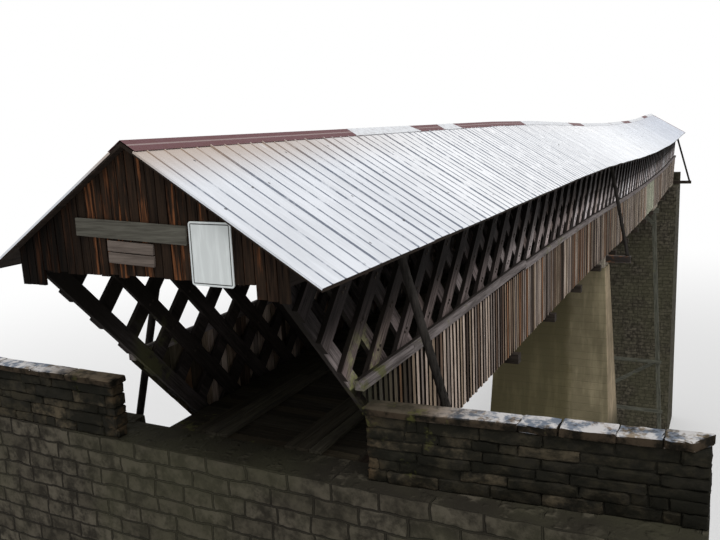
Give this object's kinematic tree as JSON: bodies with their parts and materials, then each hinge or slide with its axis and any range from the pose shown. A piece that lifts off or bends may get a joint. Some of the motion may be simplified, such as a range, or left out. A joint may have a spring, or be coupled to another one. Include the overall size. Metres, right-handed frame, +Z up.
{
  "type": "covered timber lattice truss bridge, 1:2 scale model",
  "caption": "Covered timber bridge with lattice side trusses and a metal gable roof, on stone abutments, a tall tapered pier and a slender timber bent. Scale model at 1:2.",
  "frame": {"origin": "on the ground, under the middle of the bridge in plan", "axes": "+X along the bridge from the near portal to the far one, +Y to the left as one walks in, +Z up"},
  "size_m": [30, 6.424, 12.861],
  "materials": {
    "lattice_timber": "weathered, grey-brown",
    "chord_timber": "weathered",
    "rail_timber": "weathered, mossy",
    "side_boards": "weathered, mixed colours",
    "deck_timber": "worn",
    "running_plank_timber": "worn pale",
    "frame_timber": "rough sawn",
    "roof_sheet": "weathered bare sheet",
    "rusted_sheet": "rusted",
    "bright_sheet": "bright sheet",
    "gable_boards": "weathered dark",
    "bare_board": "bare grey",
    "white_sign": "satin",
    "rusted_steel": "rusted",
    "pole_timber": "dark, weathered",
    "concrete": "board-marked concrete",
    "bent_timber": "dark, weathered",
    "coursed_stone": "coursed",
    "cap_stone": "mossy"
  },
  "bodies": {
    "root": {"near_right_lattice": "lattice_timber", "far_right_lattice": "lattice_timber", "near_left_lattice": "lattice_timber", "far_left_lattice": "lattice_timber", "right_top_chord": "chord_timber", "left_top_chord": "chord_timber", "right_lower_chord": "chord_timber", "left_lower_chord": "chord_timber", "right_rail": "rail_timber", "left_rail": "rail_timber", "right_boarding": "side_boards", "left_boarding": "side_boards", "deck": "deck_timber", "running_planks": "running_plank_timber", "stringers": "frame_timber", "floor_beams": "frame_timber", "tie_beams": "frame_timber", "rafters": "frame_timber", "abutment_bed_timbers": "frame_timber", "pier_blocks": "frame_timber", "bent_bolsters": "frame_timber", "end_outriggers": "frame_timber", "right_roof": "roof_sheet", "left_roof": "roof_sheet", "rusted_ridge_cap": "rusted_sheet", "bright_ridge_cap": "bright_sheet", "near_gable": "gable_boards", "far_gable": "gable_boards", "name_board": "bare_board", "small_boards": "bare_board", "plain_sign": "white_sign", "pier_beam": "rusted_steel", "brace_poles": "pole_timber", "pier": "concrete", "bent_cap": "bent_timber", "bent_posts": "bent_timber", "bent_bracing": "bent_timber", "near_abutment": "coursed_stone", "far_abutment": "coursed_stone", "right_parapet": "coursed_stone", "left_parapet": "coursed_stone", "parapet_caps": "cap_stone"}
  },
  "joints": []
}
